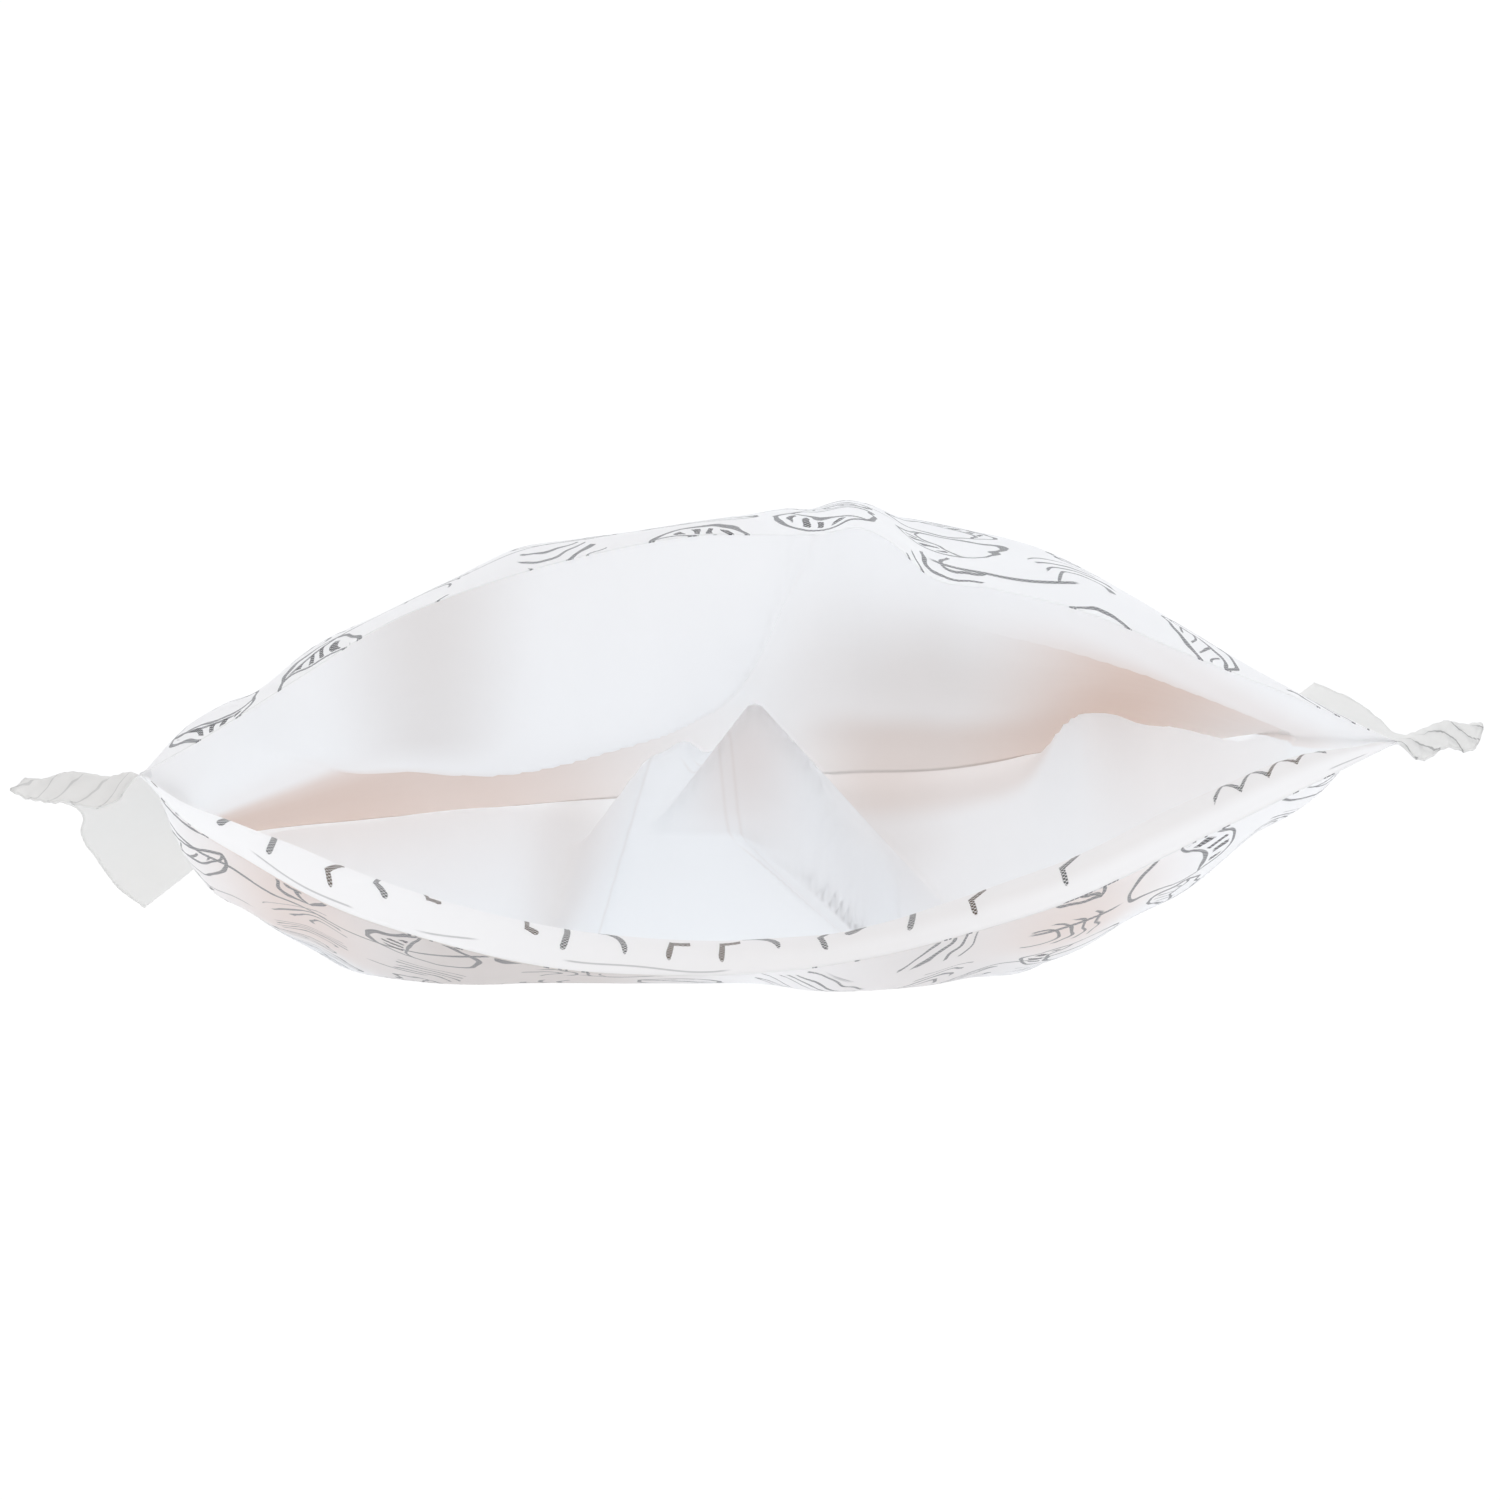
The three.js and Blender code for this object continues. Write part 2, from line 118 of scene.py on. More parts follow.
# How the swell, the flare and the openness change from the lip to the far weld.
upper_swell_along = profile(
    (0, 0), (4, 0.5), (8, 0.68), (16, 0.86), (32, 1), (60, 0.8), (110, 0.25), (160, 0), (CAVITY, 0))
lower_swell_along = profile(
    (0, 0), (6, 0.08), (12, 0.38), (20, 0.8), (32, 1), (60, 0.8), (110, 0.25), (160, 0), (CAVITY, 0))
flare_along = profile(
    (0, 0), (1, 0.3), (3, 0.7), (6, 0.95), (9, 1), (13, 0.76), (20, 0.2), (26, 0), (CAVITY, 0))
upper_taper = profile((0, 1), (40, 1), (100, 0.78), (140, 0.56), (175, 0.38), (203, 0.18), (CAVITY, 0))
lower_taper = profile(
    (0, 1), (40, 1), (70, 1.02), (100, 1.05), (126, 1.03), (150, 0.7), (175, 0.38), (CAVITY, 0))

# The lines along which the panels part: the inner edges of the side welds, and the far weld.
left_seam_x = profile((0, MOUTH_LEFT), (30, -61.2), (60, -62), (110, -65), (CAVITY, -69.5))
left_seam_z = profile((0, 22.5), (40, 21.2), (120, 17), (CAVITY, 13.4))
right_seam_x = profile((0, MOUTH_RIGHT), (30, 62), (60, 60.5), (110, 63), (CAVITY, 67.5))
right_seam_z = profile((0, 25.7), (60, 26.1), (130, 26.7), (CAVITY, 27.5))
end_height = profile(
    (-82, 3.8), (-79, 9), (-75, 12), (-69.5, 13.4), (-50, 15.6), (-30, 17.3), (-15, 18.7), (0, 20.4),
    (10.7, 21.7), (26.7, 22.4), (40, 24.6), (52, 26.2), (67.5, 27.5), (73, 30), (76.2, 33.4))

# Folds: the hanging sheet's lower edge and the line where the right half folds up into a pocket
# (each as depth over x), how steeply the sheet falls, then the humps and hollows of the lower panel.
sheet_edge = profile(
    (-61, 148), (-43, 146), (-29, 141), (-18, 131), (-7, 115), (-0.6, 90), (4.3, 50), (8.5, 0))
sheet_fall = profile(
    (-60, 0), (-50, 0.068), (-42, 0.102), (-35, 0.128), (-28, 0.145), (-20, 0.156), (-10, 0.162),
    (8.5, 0.172))
SHEET_RIGHT = 8.5
SHEET_PUFF_AT, SHEET_PUFF_REACH = 32, 34
SHEET_FOLD_BACK, SHEET_FOLD_FRONT = 4.2, 0.8
pocket_edge = profile((30, 100), (45, 88), (60, 72))
POCKET = dict(x=46, width=15, height=3.4, step=7, closes_from=165, closes_at=212)
FACET = dict(foot_y=98, length=77, foot_z=1.5, rise=24.8, foot_left=-17.9, foot_right=13.5, peak_x=-8.2,
             peak_y=175, peak_z=26.3, lean_left=5.4, lean_right=21.7, bow=3.2)
BACK_FOLD = dict(x=0.5, y=148, z=31.3)
HUMPS = [
    dict(x=-36, y=172, left=15, right=15, along=34, height=5),
    dict(x=-56, y=150, left=10, right=10, along=40, height=1.2),
    dict(x=42, y=175, left=4.2, right=6.8, along=30, height=9.9),
    dict(x=56, y=175, left=11, right=14, along=30, height=4.3),
]
RESTS = [
    dict(x=2, y=98, across=32, along=36, depth=5),
    dict(x=21, y=112, across=13, along=26, depth=5),
    dict(x=-27, y=116, across=13, along=24, depth=3),
]


def across(u, y):
    return left_seam_x(y) * (1 - u) + right_seam_x(y) * u


def chord(u, x, y):
    """Height of the line that joins the two side welds."""
    straight = left_seam_z(y) * (1 - u) + right_seam_z(y) * u
    end_line = end_height(left_seam_x(CAVITY)) * (1 - u) + end_height(right_seam_x(CAVITY)) * u
    return straight + ease(90, CAVITY, y) * (end_height(x) - end_line)


def upper_panel(u, y):
    """Inner face of the upper panel. u runs 0 to 1 from the left weld to the right one."""
    x = across(u, y)
    lip_x = MOUTH_LEFT + MOUTH_WIDTH * u
    rise = upper_lip(lip_x) - chord(u, lip_x, 0 * y)
    swell = upper_swell(lip_x)
    dent = LIP_DENT["depth"] * bell(lip_x - LIP_DENT["x"], LIP_DENT["width"])
    closed = ease(POCKET["closes_from"], POCKET["closes_at"], y)
    pocket = ease(0, POCKET["step"], y - pocket_edge(x)) * (1 - closed)
    pocket = pocket * bell(x - POCKET["x"], POCKET["width"])
    body = chord(u, x, y) + (rise + dent) * upper_taper(y) - dent * bell(y, LIP_DENT["reach"])
    free = body + (swell - dent) * upper_swell_along(y) + POCKET["height"] * pocket

    fall = sheet_fall(x)
    puff = (swell + fall * SHEET_PUFF_AT) * bell(y - SHEET_PUFF_AT, SHEET_PUFF_REACH) * (1 - bell(y, 10))
    sheet = upper_lip(np.clip(lip_x, MOUTH_LEFT, SHEET_RIGHT)) - fall * y + puff
    lean = (sheet_edge(x + 1) - sheet_edge(x - 1)) / 2
    in_front = (sheet_edge(x) - y) / np.hypot(1, lean)
    share = ease(-SHEET_FOLD_BACK, SHEET_FOLD_FRONT, in_front) * (1 - ease(4, 10, x))
    share = share * ease(-61, -48, x) * ease(10, 60, y)
    return free + (np.minimum(free, sheet) - free) * share


def facet(x, y):
    """The flat three-cornered fold: foot line at the front, peak at the back, steep flanks."""
    along = (y - FACET["foot_y"]) / FACET["length"]
    slope = FACET["foot_z"] + FACET["rise"] * along
    left = FACET["foot_left"] + FACET["lean_left"] * along
    bow = FACET["bow"] * 4 * along * np.maximum(1 - along, 0)
    right = FACET["foot_right"] - FACET["lean_right"] * along - bow
    left_side = slope - np.maximum(left - x, 0) * 1.5
    right_side = slope - np.maximum(x - right, 0) * 0.75
    roof_slope = np.where(x < FACET["peak_x"], 1.0, 0.55)
    roof = FACET["peak_z"] - (y - FACET["peak_y"]) * 0.28 - np.abs(x - FACET["peak_x"]) * roof_slope
    return np.minimum(np.minimum(left_side, right_side), roof)


def back_fold(x, y):
    """A second fold behind the facet, steep in front on its left, up as far as the upper panel."""
    past_x, past_y = x - BACK_FOLD["x"], y - BACK_FOLD["y"]
    sides = BACK_FOLD["z"] - np.maximum(1.3 * np.maximum(-past_x, 0), 1.1 * np.maximum(past_x, 0))
    front_slope = 2.2 - 1.5 * ease(5, 18, x)
    ends = BACK_FOLD["z"] - np.maximum(front_slope * np.maximum(-past_y, 0), 0.05 * np.maximum(past_y, 0))
    return -higher(-sides, -ends, 0.4 + 12 * ease(5, 15, x))


def lower_panel(u, y):
    """Outer face of the lower panel, flat where it lies on the table."""
    x = across(u, y)
    lip_x = MOUTH_LEFT + MOUTH_WIDTH * u
    drop = chord(u, lip_x, 0 * y) - lower_lip(lip_x)
    side = np.clip(np.minimum(x - left_seam_x(y), right_seam_x(y) - x) / 12, 0, 1)
    z = chord(u, x, y) - drop * lower_taper(y) - lower_swell(lip_x) * lower_swell_along(y)
    z = z + lower_flare(lip_x) * flare_along(y)
    for h in HUMPS:
        spread = np.where(x < h["x"], h["left"], h["right"])
        z = z + h["height"] * bell(x - h["x"], spread) * bell(y - h["y"], h["along"]) * side
    for r in RESTS:
        z = z - r["depth"] * bell(x - r["x"], r["across"]) * bell(y - r["y"], r["along"])
    z = higher(z, facet(x, y), 2.6)
    z = higher(z, back_fold(x, y), 2.2)
    z = higher(z, 0 * z, 0.8)
    gap = (2 * FILM + 0.6 + 1.5 * np.clip((CAVITY - y) / 30, 0, 1)) * np.clip(side * 3, 0, 1)
    return np.minimum(z, upper_panel(u, y) - gap * (1 - ease(CAVITY - 6, CAVITY, y)))


# ---- Welds ----------------------------------------------------------------------------------
# Where the panels are fused they carry no print: a strip 9 to 15 mm wide along each side and one of
# 10 mm across the far end. At the mouth the side strips stick out and curl into small leaves.
FIN_COLUMNS = 26
LEFT_CURL = dict(dip=2.6, crest=0.2)
RIGHT_CURL = dict(dip=1.2, crest=1.3)
CURL_WAVE = 0.45
left_edge_x = profile(
    (0, -74), (12, -71.5), (25, -70.2), (60, -73.1), (120, -77.6), (180, -80.6), (DEPTH, -81.8))
left_edge_z = profile(
    (0, 21.9), (5, 22.2), (9, 21.8), (14, 20.4), (25, 19.2), (60, 15.9), (120, 12.4), (180, 7.4),
    (DEPTH, 3.8))
right_edge_x = profile(
    (0, 72.6), (4, 73.8), (8, 73.2), (14, 71.4), (30, 67.8), (45, 67.6), (110, 70.6), (160, 73),
    (DEPTH, 76.2))
right_edge_z = profile(
    (0, 25.6), (6, 26.6), (14, 26.2), (30, 26.6), (45, 28), (110, 30.8), (160, 32.2), (DEPTH, 34))

# Rows from the lip to the far edge lie close together at the lip, where the cut film shows edge on.
cavity_rows = np.concatenate([
    [0, 0.3, 0.6, 1.0, 1.5, 2.1, 2.8, 3.6, 4.5], np.linspace(5.6, 40, 22), np.linspace(41.9, CAVITY, 91)])
rows = np.concatenate([cavity_rows, np.linspace(CAVITY, DEPTH, 7)[1:]])
COLUMNS = PANEL_COLUMNS + 2 * FIN_COLUMNS
inside = np.arange(COLUMNS + 1) - FIN_COLUMNS
weld_left = np.clip(-inside / FIN_COLUMNS, 0, 1)[None]
weld_right = np.clip((inside - PANEL_COLUMNS) / FIN_COLUMNS, 0, 1)[None]


def outside_places(upper):
    """Places on the outside of one panel, with its share of the side and end welds."""
    y = np.repeat(rows[:, None], COLUMNS + 1, 1)
    yc = np.minimum(y, CAVITY)
    u = np.clip(inside / PANEL_COLUMNS, 0, 1)[None].repeat(len(rows), 0)
    x = across(u, yc)
    half = WELD_THICKNESS / 2 if upper else -WELD_THICKNESS / 2
    z = upper_panel(u, yc) + FILM if upper else lower_panel(u, yc)
    z = np.where(y > CAVITY, end_height(x) + half, z)
    left = (weld_left, left_seam_x, left_seam_z, left_edge_x, left_edge_z, LEFT_CURL, inside <= 0)
    right = (weld_right, right_seam_x, right_seam_z, right_edge_x, right_edge_z, RIGHT_CURL,
             inside >= PANEL_COLUMNS)
    for out, seam_x, seam_z, edge_x, edge_z, leaf, here in (left, right):
        sx = seam_x(yc)
        sz = np.where(y > CAVITY, end_height(sx), seam_z(yc))
        x = np.where(here[None], sx + (edge_x(y) - sx) * out, x)
        curl = (ease(0, 5, y) - 1) * (ease(0, 0.18, out) - 0.7 * ease(0.6, 1, out)) * leaf["dip"]
        curl = curl + bell(y - 6, 5) * ease(0.05, 0.5, out) * leaf["crest"]
        curl = curl + CURL_WAVE * np.sin(out * 11 + 1) * ease(0, 0.2, out) * (1 - ease(2, 14, y))
        z = np.where(here[None], sz + (edge_z(y) - sz) * out + curl + half, z)
    return np.stack([x, y, z], -1)


def inside_places():
    """Places on the inside of both panels, which meet along the welds."""
    y = np.minimum(cavity_rows, CAVITY - 1)[:, None].repeat(PANEL_COLUMNS + 1, 1)
    u = (np.arange(PANEL_COLUMNS + 1) / PANEL_COLUMNS)[None].repeat(len(cavity_rows), 0)
    x = across(u, y)
    floor = lower_panel(u, y) + FILM
    top = np.stack([x, y, np.maximum(upper_panel(u, y), floor + 0.1)], -1)
    floor = np.stack([x, y, floor], -1)
    seam = (top + floor) / 2
    for face in (top, floor):
        face[:, 0], face[:, -1], face[-1] = seam[:, 0], seam[:, -1], seam[-1]
    return top, floor


upper_out, lower_out = outside_places(True), outside_places(False)
upper_in, lower_in = inside_places()


def flat_places(face):
    """How far each place is from the middle column and from the lip, measured along the film."""
    step = np.linalg.norm(np.diff(face[:, :, [0, 2]], axis=1), axis=-1)
    wide = np.concatenate([np.zeros((len(face), 1)), np.cumsum(step, 1)], 1)
    wide -= wide[:, [COLUMNS // 2]]
    step = np.linalg.norm(np.diff(face[:, :, [1, 2]], axis=0), axis=-1)
    deep = np.concatenate([np.zeros((1, COLUMNS + 1)), np.cumsum(step, 0)], 0)
    return np.stack([wide, deep], -1)


first, last = FIN_COLUMNS, FIN_COLUMNS + PANEL_COLUMNS
weld_width = weld_left * np.hypot(
    left_edge_x(rows) - left_seam_x(rows), left_edge_z(rows) - left_seam_z(rows))[:, None]
weld_width = weld_width + weld_right * np.hypot(
    right_edge_x(rows) - right_seam_x(rows), right_edge_z(rows) - right_seam_z(rows))[:, None]
end_width = np.repeat(np.maximum(rows - CAVITY, 0)[:, None], COLUMNS + 1, 1)

points, film_place, film_kind, numbers = [], [], [], []
for grid, panel in ((upper_out, 0), (lower_out, 1)):
    numbers.append(np.arange(grid[..., 0].size).reshape(grid.shape[:2]) + sum(map(len, points)))
    points.append(grid.reshape(-1, 3))
    flat = flat_places(grid)
    film_place.append(np.dstack([flat, np.full(flat.shape[:2], panel)]))
    film_kind.append(np.dstack([np.zeros(flat.shape[:2]), weld_width, end_width]).reshape(-1, 3))
on_seam = np.ones(upper_in.shape[:2], bool)
on_seam[:-1, 1:-1] = False
for grid, panel in ((upper_in, 0), (lower_in, 1)):
    flat = film_place[panel][: len(cavity_rows), first:last + 1]
    own = np.ones(on_seam.shape, bool) if panel == 0 else ~on_seam
    number = numbers[2].copy() if panel else np.zeros(on_seam.shape, int)
    number[own] = np.arange(own.sum()) + sum(map(len, points))
    numbers.append(number)
    points.append(grid[own])
    film_place.append(flat[own])
    film_kind.append(np.tile([1.0, 0.0, 0.0], (own.sum(), 1)))
film_place = np.concatenate([p.reshape(-1, 3) for p in film_place])
film_kind = np.concatenate(film_kind)
points = np.concatenate(points)
UO, LO, UI, LI = numbers


def quads(a, b, c, d):
    return np.stack([a.ravel(), b.ravel(), c.ravel(), d.ravel()], -1)


faces = np.concatenate([
    quads(UO[:-1, :-1], UO[:-1, 1:], UO[1:, 1:], UO[1:, :-1]),
    quads(LO[:-1, :-1], LO[1:, :-1], LO[1:, 1:], LO[:-1, 1:]),
    quads(UI[:-1, :-1], UI[1:, :-1], UI[1:, 1:], UI[:-1, 1:]),
    quads(LI[:-1, :-1], LI[:-1, 1:], LI[1:, 1:], LI[1:, :-1]),
    quads(UO[:-1, 0], UO[1:, 0], LO[1:, 0], LO[:-1, 0]),
    quads(UO[:-1, -1], LO[:-1, -1], LO[1:, -1], UO[1:, -1]),
    quads(UO[-1, :-1], UO[-1, 1:], LO[-1, 1:], LO[-1, :-1]),
    quads(UO[0, :first], LO[0, :first], LO[0, 1:first + 1], UO[0, 1:first + 1]),
    quads(UO[0, last:-1], LO[0, last:-1], LO[0, last + 1:], UO[0, last + 1:]),
    quads(UO[0, first:last], UI[0, :-1], UI[0, 1:], UO[0, first + 1:last + 1]),
    quads(LO[0, first:last], LO[0, first + 1:last + 1], LI[0, 1:], LI[0, :-1]),
]).tolist()
faces = [[n for i, n in enumerate(f) if n not in f[:i]] for f in faces]
faces += [[int(n) for n in f] for f in (
    (UO[0, first], LO[0, first], UI[0, 0]), (LO[0, last], UO[0, last], UI[0, -1]))]

BAG_MIDDLE = np.array([-2.8, DEPTH / 2, 0.0])
film_mesh = bpy.data.meshes.new("film")
film_mesh.from_pydata(((points - BAG_MIDDLE) / 1000).tolist(), [], faces)
film_mesh.polygons.foreach_set("use_smooth", [True] * len(film_mesh.polygons))
for name, values in (("film_place", film_place), ("film_kind", film_kind)):
    attribute = film_mesh.attributes.new(name, "FLOAT_VECTOR", "POINT")
    attribute.data.foreach_set("vector", values.astype(np.float32).ravel())
film = bpy.data.objects.new("film", film_mesh)
bpy.context.scene.collection.objects.link(film)


# ---- Film finish ----------------------------------------------------------------------------
# White film that lets light through, satin on both sides. Outside it is printed with grey line
# drawings of buds, leaves and curls in a coarse dot screen. Inside, bare white hides the print except
# along the lower lip, where it shows dark. The welds are unprinted and greyer. Shade under the belly
# and in the folds inside is painted into the colour, in grey and warm tan.
class Wire:
    """A node's output, which takes part in sums as a number would."""

    def __init__(self, tree, socket=None):
        self.tree, self.socket = tree, socket

    def node(self, kind, settings=None, inputs=None, out=0):
        """Adds a node: its settings first, then the values or wires of its sockets."""
        new = self.tree.nodes.new(kind)
        for name, value in (settings or {}).items():
            setattr(new, name, value)
        for name, value in (inputs or {}).items():
            if isinstance(value, Wire):
                self.tree.links.new(value.socket, new.inputs[name])
            else:
                new.inputs[name].default_value = value
        return Wire(self.tree, new.outputs[out] if new.outputs else None)

    def math(self, operation, *values):
        return self.node("ShaderNodeMath", {"operation": operation}, dict(enumerate(values)))

    def __add__(self, other):
        return self.math("ADD", self, other)

    def __sub__(self, other):
        return self.math("SUBTRACT", self, other)

    def __rsub__(self, other):
        return self.math("SUBTRACT", other, self)

    def __mul__(self, other):
        return self.math("MULTIPLY", self, other)

    def __truediv__(self, other):
        return self.math("DIVIDE", self, other)

    __radd__, __rmul__ = __add__, __mul__

    def __abs__(self):
        return self.math("ABSOLUTE", self)

    def fade(self, start, stop):
        """Goes smoothly from 0 where the wire is at start to 1 where it is at stop."""
        return self.node("ShaderNodeMapRange", {"interpolation_type": "SMOOTHSTEP"},
                         {"Value": self, "From Min": start, "From Max": stop})

    def split(self):
        parts = self.node("ShaderNodeSeparateXYZ", None, {0: self}).socket.node
        return [Wire(self.tree, socket) for socket in parts.outputs]

    def join(self, y, z=0.0):
        return self.node("ShaderNodeCombineXYZ", None, {0: self, 1: y, 2: z})

    def repeat(self, pitch):
        """Distance from the nearest of a row of lines, one every pitch."""
        return (self.math("FRACT", self / pitch) - 0.5) * pitch

    def line(self, width, soft=0.05):
        """1 on a drawn line of this width, where the wire is the distance from its middle."""
        return abs(self).fade(width / 2 + soft, width / 2 - soft)

    def highest(self, other):
        return self.math("MAXIMUM", self, other)

    def spot(self, middle, width):
        """1 at the middle, falling away on both sides."""
        return abs(self - middle).fade(width, 0)

    def noise(self, scale, detail=1.0, out="Fac"):
        return self.node(
            "ShaderNodeTexNoise", None, {"Vector": self, "Scale": scale, "Detail": detail}, out)

    def paint(self, share, colour):
        """Covers this colour with another one, by a share from 0 to 1."""
        inputs = {"Factor": share, "A": self, "B": colour}
        mixed = self.node("ShaderNodeMix", {"data_type": "RGBA"}).socket.node
        for name, index in (("Factor", 0), ("A", 6), ("B", 7)):
            value = inputs[name]
            if isinstance(value, Wire):
                self.tree.links.new(value.socket, mixed.inputs[index])
            else:
                mixed.inputs[index].default_value = value
        return Wire(self.tree, mixed.outputs[2])


PRINT_LINE = 0.5
HATCH_LINE = 0.75
SCREEN_PITCH = 0.36
MOTIF_SPACE = 13.5
ROWS_CLOSER = 1.15
BUD_SHARE, LEAF_SHARE, KIND_EDGE = 0.355, 0.735, 0.005
STROKE_SPACE = 5.1
THROUGH = 0.7
FILM_WHITE = (0.970, 0.973, 0.980, 1)
WELD_GREY = (0.875, 0.875, 0.87, 1)
# Colours for painted shade, grey and warm tan, and a pale blue for painted cool light.
WARM_SHADE = (0.72, 0.53, 0.44, 1)
SHADE_GREY = (0.74, 0.70, 0.68, 1)
COOL_LIGHT_TINT = (0.93, 0.965, 0.99, 1)
PRINT_GREY = (0.27, 0.272, 0.28, 1)
HATCH_GREY = (0.08, 0.08, 0.085, 1)
PRINT_BROWN = (0.13, 0.08, 0.045, 1)
BAG_X, BAG_Y = float(BAG_MIDDLE[0]), float(BAG_MIDDLE[1])


def new_look(name):
    """A material without nodes, and the wire from which its nodes are made."""
    look = bpy.data.materials.new(name)
    look.use_nodes = True
    look.node_tree.nodes.clear()
    return look, Wire(look.node_tree)


def film_places(start):
    """Where a spot lies on the flat film, on which panel, and how far inside the bag, in mm."""
    place = start.node("ShaderNodeAttribute", {"attribute_name": "film_place"}, out="Vector")
    wide, deep, panel = place.split()
    at_x, at_y, _ = start.node("ShaderNodeTexCoord", None, out="Object").split()
    return wide, deep, panel.fade(0.4, 0.6), at_x * 1000 + BAG_X, at_y * 1000 + BAG_Y


def length(x, y):
    return x.node("ShaderNodeVectorMath", {"operation": "LENGTH"}, {0: x.join(y)}, "Value")


def dot_screen(wide, deep):
    """The dots into which the print is broken up, in rows at 45 degrees."""
    up = (wide + deep).math("SINE", (wide + deep) * (math.pi * 0.7071 / SCREEN_PITCH))
    down = (wide - deep).math("SINE", (wide - deep) * (math.pi * 0.7071 / SCREEN_PITCH))
    return abs(up * down)


def film_surface(start, colour, places, deep_in):
    """Satin film of this colour, most of whose light comes through from the other side."""
    satin = start.node("ShaderNodeBsdfPrincipled", None, {
        "Base Color": colour, "Roughness": places.noise(0.2, 1.0) * 0.2 + 0.28,
        "IOR": 1.5, "Specular IOR Level": 0.4})
    glow = start.node("ShaderNodeBsdfTranslucent", None, {"Color": colour})
    through = deep_in.fade(196, 214) * 0.08 + THROUGH
    surface = start.node("ShaderNodeMixShader", None, {0: through, 1: satin, 2: glow})
    start.node("ShaderNodeOutputMaterial", None, {"Surface": surface})


printed_film, start = new_look("printed_white_film")
wide, deep, lower, bag_x, bag_y = film_places(start)
film_sort = start.node("ShaderNodeAttribute", {"attribute_name": "film_kind"}, out="Vector")
_, side_weld, end_weld = film_sort.split()
weld = side_weld.fade(0.1, 0.5).highest(end_weld.fade(0.1, 0.6))
flat = wide.join(deep, lower * 50)
front = 1 - start.node("ShaderNodeNewGeometry", None, out="Backfacing")
printed = (1 - weld) * front

# Motifs: each square of the print holds a bud, a leaf or a set of curls, turned by its own angle.
square_x = (wide + lower * 311) / MOTIF_SPACE
square_x_number = square_x.math("FLOOR", square_x)
square_y = deep / MOTIF_SPACE * ROWS_CLOSER + square_x_number * 0.37
square_y_number = square_y.math("FLOOR", square_y)
square = square_x_number.join(square_y_number, lower)
turn, kind, push = square.node("ShaderNodeTexWhiteNoise", None, {"Vector": square}, "Color").split()
wobble_x, wobble_y, _ = flat.noise(0.2, 1.0, "Color").split()
motif = ((square_x.math("FRACT", square_x) - 0.5) * MOTIF_SPACE + wobble_x * 4 - 2 + push * 2 - 1).join(
    (square_y.math("FRACT", square_y) - 0.5) * (MOTIF_SPACE / ROWS_CLOSER) + wobble_y * 4 - 2)
motif_x, motif_y, _ = motif.node(
    "ShaderNodeVectorRotate", {"rotation_type": "Z_AXIS"}, {"Vector": motif, "Angle": turn * 6.283}).split()

bud = length(motif_x, motif_y * 0.8) + motif_y * 0.08 - 4.7
cap = motif_y - 1.6 + motif_x * motif_x * 0.08
bud_lines = bud.line(PRINT_LINE).highest(cap.line(PRINT_LINE) * bud.fade(0, -0.2))
bud_hatch = (motif_x + motif_y * 0.25).repeat(1.7).line(HATCH_LINE)
bud_hatch = bud_hatch * cap.fade(0.5, 0.7) * cap.fade(2.9, 2.6) * bud.fade(-0.7, -1.0)
blade = length(motif_x + 4.2, motif_y).highest(length(motif_x - 4.2, motif_y)) - 7.2
rib = (motif_x + (motif_y * 0.5).math("SINE", motif_y * 0.5) * 0.4).line(0.4) * blade.fade(0, -0.2)
veins = (motif_y - abs(motif_x) * 0.9).repeat(2.1).line(0.4)
veins = veins * blade.fade(-0.6, -0.9) * motif_x.fade(-0.1, 0.1)
leaf = blade.line(PRINT_LINE).highest(rib).highest(veins)
ring = length(motif_x, motif_y + 4)
curls = ring.repeat(1.8).line(PRINT_LINE) * ring.fade(2.4, 2.6) * ring.fade(8.2, 8.0)
curls = curls * abs(motif_x).fade(3.8, 3.5) * (motif_y + 4).fade(0, 0.4)
is_bud = kind.fade(BUD_SHARE + KIND_EDGE, BUD_SHARE - KIND_EDGE)
is_leaf = kind.fade(BUD_SHARE - KIND_EDGE, BUD_SHARE + KIND_EDGE)
is_leaf = is_leaf * kind.fade(LEAF_SHARE + KIND_EDGE, LEAF_SHARE - KIND_EDGE)
drawing = bud_lines * is_bud + leaf * is_leaf
drawing = drawing + curls * kind.fade(LEAF_SHARE - KIND_EDGE, LEAF_SHARE + KIND_EDGE)
wave = deep + (wide / 11).math("SINE", wide / 11 + lower * 2) * 4.6
wave = wave + (wide / 4.7).math("SINE", wide / 4.7 + 1.3) * 1.9
stems = wave.repeat(14.0).line(PRINT_LINE) * flat.noise(0.06, 0.0).fade(0.45, 0.48)
screen = dot_screen(wide, deep)
lines = drawing.highest(stems) * (screen.fade(0.02, 0.2) * 0.6 + 0.4)
hatch = bud_hatch * is_bud * (screen.fade(0.06, 0.26) * 0.85 + 0.15)
# The curled strip ends at the mouth carry faint slanting lines, a little stronger on the right.
leaf_lines = (side_weld + deep * 0.5 + wobble_x * 3).repeat(2.3).line(0.2) * weld * deep.fade(7, 4)
leaf_lines = leaf_lines * (bag_x.fade(0, 10) * 0.35 + 0.3)

# Painted shade under the belly: grey, and warm tan in two places there. Painted in, so it stays the same in
# any light.
belly_shade = lower * bag_y.fade(100, 40) * (bag_x.spot(-24, 30) * 1.2 + bag_x.spot(19, 22) * 0.6)
belly_warm_shade = bag_x.spot(34, 14) * bag_y.spot(20, 18) * 0.95 + bag_x.spot(-48, 13) * bag_y.fade(70, 36)
belly_warm_shade = lower * belly_warm_shade * 0.45
